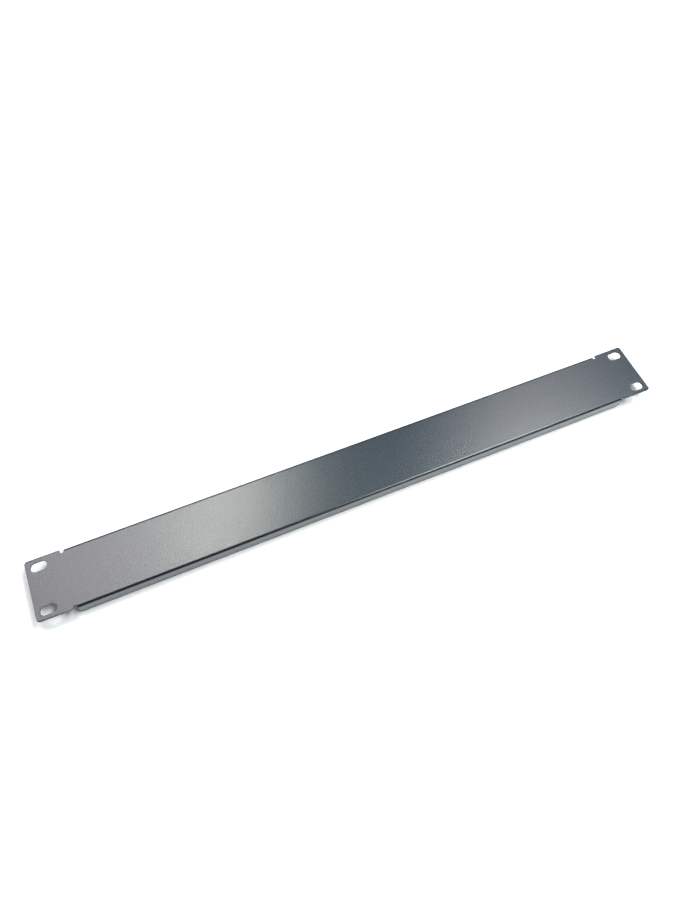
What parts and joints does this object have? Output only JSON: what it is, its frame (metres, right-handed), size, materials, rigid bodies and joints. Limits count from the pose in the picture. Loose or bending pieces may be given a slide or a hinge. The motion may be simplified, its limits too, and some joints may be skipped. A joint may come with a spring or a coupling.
{
  "type": "rack blanking panel",
  "caption": "Long flat steel panel that closes an empty bay of an equipment rack, folded back along both long edges, with a slotted fixing ear at each end.",
  "frame": {"origin": "middle of the four fixing slots, on the rear plane where the ears seat on the rack's rails", "axes": "+X along the panel, +Y across its face, +Z out of its front face"},
  "size_m": [0.4826, 0.0444, 0.0103],
  "materials": {
    "powder_coat": "satin black powder coat with a fine orange-peel texture"
  },
  "bodies": {
    "root": {"blanking_panel": "powder_coat"}
  },
  "joints": []
}
